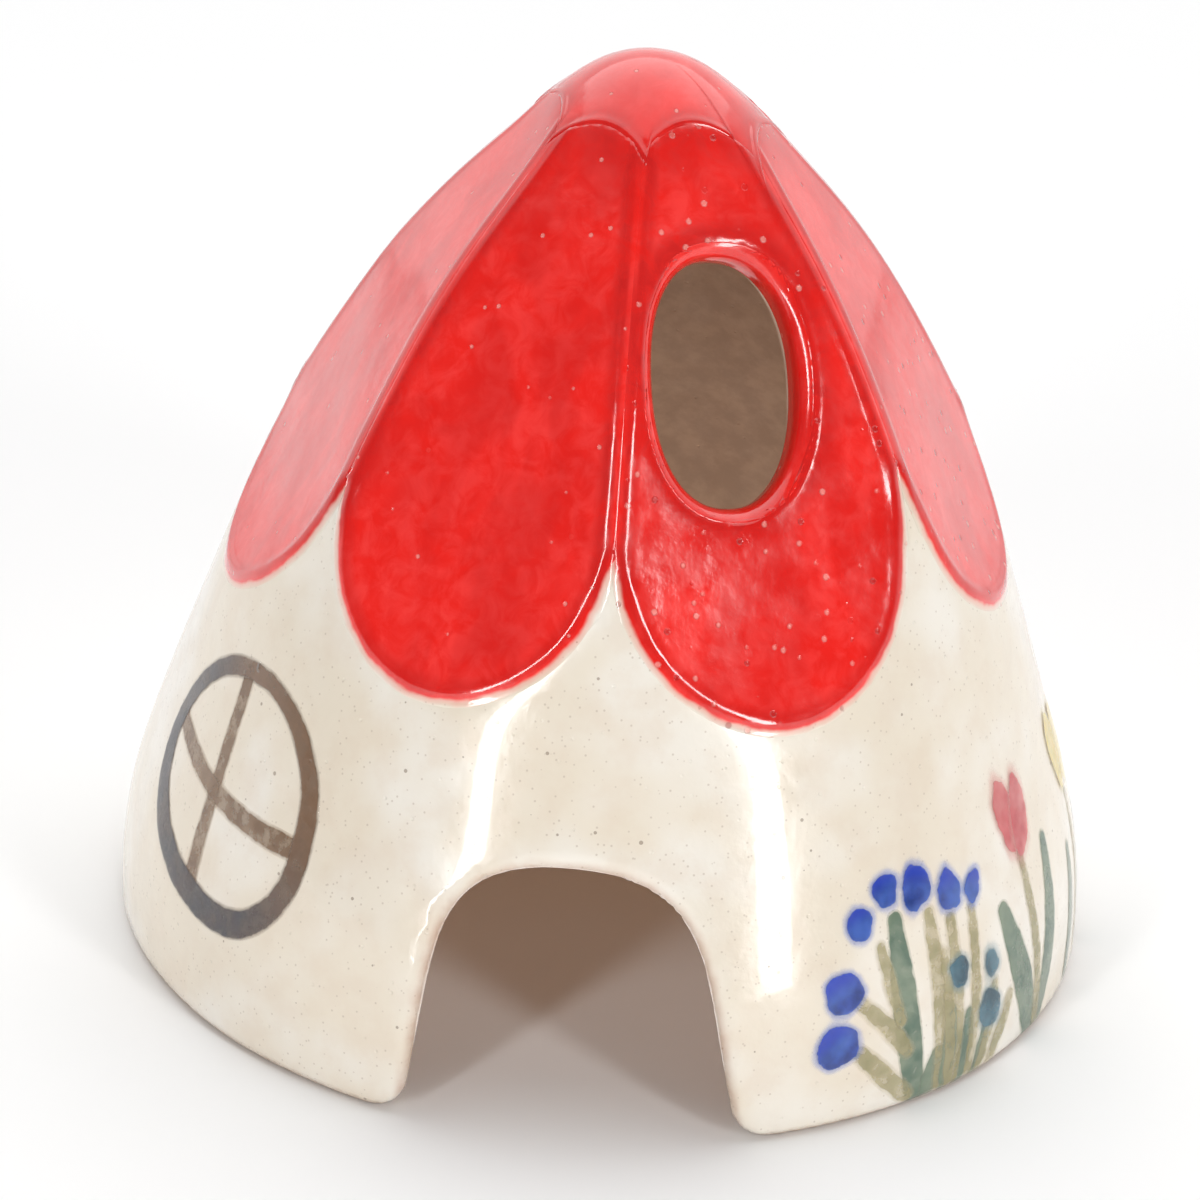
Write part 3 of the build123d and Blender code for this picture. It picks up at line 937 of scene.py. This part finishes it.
# ---- the pot ------------------------------------------------------------------------
def stoneware():
    """The thrown and pressed wall: one shell with its doorway and roof opening."""
    points, quads = surface_net(pot, GRID_LOW, GRID_HIGH, GRID_CELL)
    points = settle(pot, points, 0.0)
    # The glaze stops inside the hollow and at the foot, and the doorway's rim is toasted.
    glazed = ease(0.9, 2.0, inner(points)) * ease(0.15, 0.9, points[:, 2])
    rim = 1 - ease(0.0, 1.5, np.abs(doorway(points)))
    return make_object("stoneware_body", points, quads, {"glazed": glazed, "rim": rim})


CREAM_LOOK = cream_look()
RED_LOOK = red_look("red_glaze", 0.33, 0.15)
BUBBLED_LOOK = red_look("red_glaze_with_bubbles", 0.56, 0.22)

dress(stoneware(), CREAM_LOOK, "stoneware_body")
for index, (name, _, _) in enumerate(PETALS):
    look = BUBBLED_LOOK if name in ("front_right", "right") else RED_LOOK
    dress(petal(index), look, "petal_glaze_" + name)
dress(crown(), RED_LOOK, "crown_glaze")
dress(lining(), RED_LOOK, "opening_glaze")

# ---- painted window, flowers and leaves ---------------------------------------------
# The places a window stroke passes, as (azimuth, height, stroke width).
RING = [(-54.5, 33.6, 1.8), (-61.5, 32.2, 1.9), (-67.5, 28.6, 2.2), (-70.3, 23.2, 2.5),
        (-67.5, 17.6, 2.8), (-60.5, 13.6, 2.9), (-52.0, 11.8, 2.9), (-44.2, 12.4, 2.7),
        (-38.9, 16.2, 2.4), (-37.3, 22.0, 2.5), (-38.8, 27.6, 2.3), (-43.6, 31.6, 2.0),
        (-48.5, 33.3, 1.7)]
UPRIGHT = [(-55.9, 32.9, 2.1), (-55.7, 28.5, 2.0), (-55.2, 22.0, 1.9), (-55.0, 17.0, 2.1),
           (-54.8, 13.0, 2.1)]
CROSSBAR = [(-68.6, 24.4, 1.9), (-61.0, 22.8, 2.0), (-52.0, 21.6, 2.0), (-45.0, 21.3, 2.1),
            (-39.0, 21.3, 2.1)]

# Dabs as (azimuth, height, width, length, lean); strokes as three places and a width.
BLUE = [(38, 21.9, 3.0, 3.3, 0.2), (42.6, 21.3, 3.5, 4.4, -0.2),
        (47.8, 19.9, 3.2, 4.0, 0.1), (52.0, 19.3, 2.4, 3.2, -0.3),
        (33.8, 19.5, 3.0, 3.2, 0.3), (31.1, 13.6, 4.0, 4.0, 0.4),
        (30.1, 8.7, 4.4, 4.2, 0.6)]
TEAL = [(47.9, 12.2, 2.6, 3.2, 0.1), (53.8, 11.3, 2.2, 3.0, 0.0),
        (53.2, 6.9, 3.4, 4.2, 0.2)]
STEMS = [
    ((44.0, 18.6), (44.6, 11.0), (44.8, 1.4), 1.9),
    ((47.4, 17.4), (47.3, 9.0), (47.0, 1.4), 1.8),
    ((51.2, 17.4), (50.6, 9.5), (49.6, 1.4), 1.5),
    ((33.2, 12.4), (36.2, 9.9), (39.6, 6.4), 1.8),
    ((32.8, 7.6), (36.0, 4.9), (39.8, 1.6), 2.0),
    ((54.2, 9.2), (53.2, 5.4), (51.6, 1.4), 1.6),
    ((57.4, 7.0), (55.6, 4.0), (53.8, 1.4), 1.7),
    ((45.6, 14.6), (46.0, 7.4), (46.2, 1.2), 1.5),
    ((36.4, 17.0), (37.4, 13.4), (38.6, 9.6), 1.4)]
LEAVES = [
    ((38.9, 19.0), (39.5, 10.4), (41.2, 0.9), 2.9),
    ((44.2, 5.0), (43.7, 3.0), (43.0, 0.9), 2.6),
    ((57.4, 15.2), (60.2, 8.6), (63.0, 1.0), 3.4),
    ((70.6, 18.2), (68.6, 9.6), (64.8, 1.2), 2.7),
    ((79.5, 14.0), (78.2, 8.0), (76.0, 2.0), 2.2),
    ((93.5, 13.0), (91.4, 7.4), (88.5, 1.8), 2.4),
    ((52.4, 5.4), (51.9, 3.2), (51.0, 0.9), 1.8),
    ((49.4, 7.8), (48.8, 4.2), (48.0, 0.9), 2.0),
    ((46.4, 8.8), (46.0, 4.6), (45.6, 0.9), 1.9)]
TULIP_STEMS = [
    ((63.4, 19.0), (64.3, 10.0), (64.4, 1.6), 1.6),
    ((85.4, 17.8), (84.2, 9.6), (82.2, 1.8), 1.6)]


def traced(places, closed=False):
    """One brush stroke through places given with its width there."""
    return ribbon([place[:2] for place in places], [place[2] for place in places], closed)


def strokes(places, swell):
    """Strokes that start thin, swell in the middle and lift off thin."""
    marks = []
    for start, middle, end, width in places:
        widths = (width * (1 - swell), width, width * (1 - 0.6 * swell))
        marks.append(ribbon((start, middle, end), widths))
    return marks


def touches(places):
    """One dab at each place, every one uneven in its own way."""
    return [dab(*place, seed=1.7 * number) for number, place in enumerate(places)]


RING_LOOK = brush_look(
    "dark_underglaze", (0.060, 0.058, 0.064), INDIGO, BROWN,
    cover=0.92, watery=0.35, reach=0.35, second=(0.235, 0.135, 0.078))
BAR_LOOK = brush_look(
    "brown_underglaze", (0.29, 0.18, 0.105), (0.20, 0.115, 0.065), (0.45, 0.31, 0.20),
    cover=0.86, watery=0.7, reach=0.35)
BLUE_LOOK = brush_look(
    "blue_underglaze", (0.018, 0.070, 0.42), (0.010, 0.035, 0.21), (0.10, 0.26, 0.85),
    cover=0.95, watery=0.25, reach=0.60, rough_edge=0.16, glow=0.34,
    second=(0.012, 0.045, 0.46), turn=(0.45, 0.75))
TEAL_LOOK = brush_look(
    "teal_underglaze", (0.020, 0.115, 0.175), (0.012, 0.055, 0.085), (0.20, 0.40, 0.50),
    cover=0.92, watery=0.3, reach=0.6, rough_edge=0.14)
STEM_LOOK = brush_look(
    "khaki_underglaze", (0.50, 0.42, 0.205), (0.34, 0.31, 0.15), (0.66, 0.57, 0.36),
    cover=0.74, watery=0.7, reach=0.4, rough_edge=0.12, glow=0.25)
LEAF_LOOK = brush_look(
    "sage_underglaze", (0.150, 0.235, 0.160), (0.085, 0.150, 0.105), (0.42, 0.47, 0.33),
    cover=0.90, watery=0.45, reach=0.35)
TULIP_LOOK = brush_look(
    "tulip_red_underglaze", (0.70, 0.075, 0.090), (0.50, 0.035, 0.045), (0.86, 0.40, 0.36),
    cover=0.93, watery=0.35, reach=0.7, rough_edge=0.14, glow=0.36)
YELLOW_LOOK = brush_look(
    "yellow_underglaze", (0.86, 0.70, 0.17), (0.80, 0.56, 0.08), (0.90, 0.83, 0.52),
    cover=0.92, watery=0.4)

# Each group of marks: its node, the marks, how high it lies, its look and its slot.
PAINTED = [
    ("window_upright_bar", [traced(UPRIGHT)], 0.022, BAR_LOOK, "brown_underglaze"),
    ("window_cross_bar", [traced(CROSSBAR)], 0.034, BAR_LOOK, "brown_underglaze"),
    ("window_ring", [traced(RING, closed=True)], 0.046, RING_LOOK, "dark_underglaze"),
    ("sage_leaves", strokes(LEAVES, 0.42), 0.020, LEAF_LOOK, "sage_underglaze"),
    ("blossom_stems", strokes(STEMS, 0.25), 0.060, STEM_LOOK, "khaki_underglaze"),
    ("tulip_stems", strokes(TULIP_STEMS, 0.25), 0.060, STEM_LOOK, "khaki_underglaze"),
    ("blue_blossoms", touches(BLUE), 0.110, BLUE_LOOK, "blue_underglaze"),
    ("teal_buds", touches(TEAL), 0.110, TEAL_LOOK, "teal_underglaze"),
    ("red_tulip", [dab(61.6, 23.2, 3.6, 7.6, 0.18),
                   dab(65.0, 22.4, 3.7, 7.8, -0.22, seed=2.0)],
     0.110, TULIP_LOOK, "tulip_red_underglaze"),
    ("yellow_tulip", [dab(84.0, 22.6, 4.6, 8.4, 0.15),
                      dab(88.6, 22.0, 4.8, 8.0, -0.2, seed=1.0)],
     0.110, YELLOW_LOOK, "yellow_underglaze"),
]
for name, marks, lift, look, slot in PAINTED:
    dress(painted(name, marks, lift), look, name)


# ---- floor, light and camera --------------------------------------------------------
def floor():
    """Plain pale floor under the pot."""
    far = 3.0
    corners = [(-far, -far, 0), (far, -far, 0), (far, far, 0), (-far, far, 0)]
    mesh = bpy.data.meshes.new("floor")
    mesh.from_pydata(corners, [], [(0, 1, 2, 3)])
    ground = bpy.data.objects.new("floor", mesh)
    bpy.context.scene.collection.objects.link(ground)
    look = Look("floor_paper")
    look.set("Base Color", (0.93, 0.93, 0.93))
    look.set("Roughness", 0.85)
    look.set("Specular IOR Level", 0.15)
    ground.data.materials.append(look.material)


def direction(azimuth, elevation):
    """Direction from the pot towards a light or the camera."""
    return Vector((math.sin(azimuth) * math.cos(elevation),
                   -math.cos(azimuth) * math.cos(elevation), math.sin(elevation)))


POT_MIDDLE = Vector((0, 0, 0.04))


def softbox(name, azimuth, elevation, distance, width, height, power):
    """Rectangular light that looks at the middle of the pot."""
    data = bpy.data.lights.new(name, "AREA")
    data.shape = "RECTANGLE"
    data.size = width
    data.size_y = height
    data.energy = power
    light = bpy.data.objects.new(name, data)
    place = direction(math.radians(azimuth), math.radians(elevation)) * distance
    light.location = place + POT_MIDDLE
    light.rotation_euler = place.to_track_quat("Z", "Y").to_euler()
    bpy.context.scene.collection.objects.link(light)


def light_table(radius, power):
    """Lit sheet under the pot, as bright as the floor round it, that lights the hollow."""
    data = bpy.data.lights.new("light_table", "AREA")
    data.shape = "DISK"
    data.size = 2 * radius
    data.energy = power
    light = bpy.data.objects.new("light_table", data)
    light.location = (0, 0, 0.0004)         # just above the floor
    light.rotation_euler = (math.pi, 0, 0)  # and facing up
    bpy.context.scene.collection.objects.link(light)


def surroundings(front, behind):
    """A pale room that is darker on the viewer's side."""
    world = bpy.data.worlds.new("studio")
    world.use_nodes = True
    nodes, links = world.node_tree.nodes, world.node_tree.links
    parts = nodes.new("ShaderNodeSeparateXYZ")
    links.new(nodes.new("ShaderNodeTexCoord").outputs["Generated"], parts.inputs["Vector"])
    share = nodes.new("ShaderNodeMapRange")
    share.interpolation_type = "SMOOTHSTEP"
    share.inputs["From Min"].default_value = -0.25
    share.inputs["From Max"].default_value = 0.45
    share.inputs["To Min"].default_value = front
    share.inputs["To Max"].default_value = behind
    links.new(parts.outputs["Y"], share.inputs["Value"])
    back = nodes["Background"]
    back.inputs["Color"].default_value = (1, 1, 1, 1)
    links.new(share.outputs["Result"], back.inputs["Strength"])
    bpy.context.scene.world = world


VIEW_AZIMUTH = math.radians(1.5)
VIEW_ELEVATION = math.radians(24.24)
VIEW_DISTANCE = 0.432
VIEW_ROLL = math.radians(3.7)
VIEW_TARGET = Vector((0, 0, 0.0401))
VIEW_LENS = 132.7
VIEW_SHIFT = (-0.0185, -0.0549)


def camera():
    """Camera at the photograph's angle."""
    data = bpy.data.cameras.new("camera")
    data.lens = VIEW_LENS
    data.sensor_width = 36.0
    data.shift_x, data.shift_y = VIEW_SHIFT
    data.clip_start = 0.01
    eye = bpy.data.objects.new("camera", data)
    back = direction(VIEW_AZIMUTH, VIEW_ELEVATION)
    eye.location = VIEW_TARGET + back * VIEW_DISTANCE
    turn = back.to_track_quat("Z", "Y") @ Quaternion((0, 0, 1), VIEW_ROLL)
    eye.rotation_euler = turn.to_euler()
    bpy.context.scene.collection.objects.link(eye)
    bpy.context.scene.camera = eye


bpy.context.scene.view_settings.view_transform = "Standard"
floor()
surroundings(0.13, 1.0)
softbox("left_strip", -29.5, 18, 0.9, 0.09, 0.60, 2.7)
softbox("right_strip", 41.5, 16, 0.9, 0.13, 0.60, 3.2)
softbox("overhead", 180, 70, 1.3, 2.2, 1.9, 13.5)
light_table(0.036, 0.012)
camera()
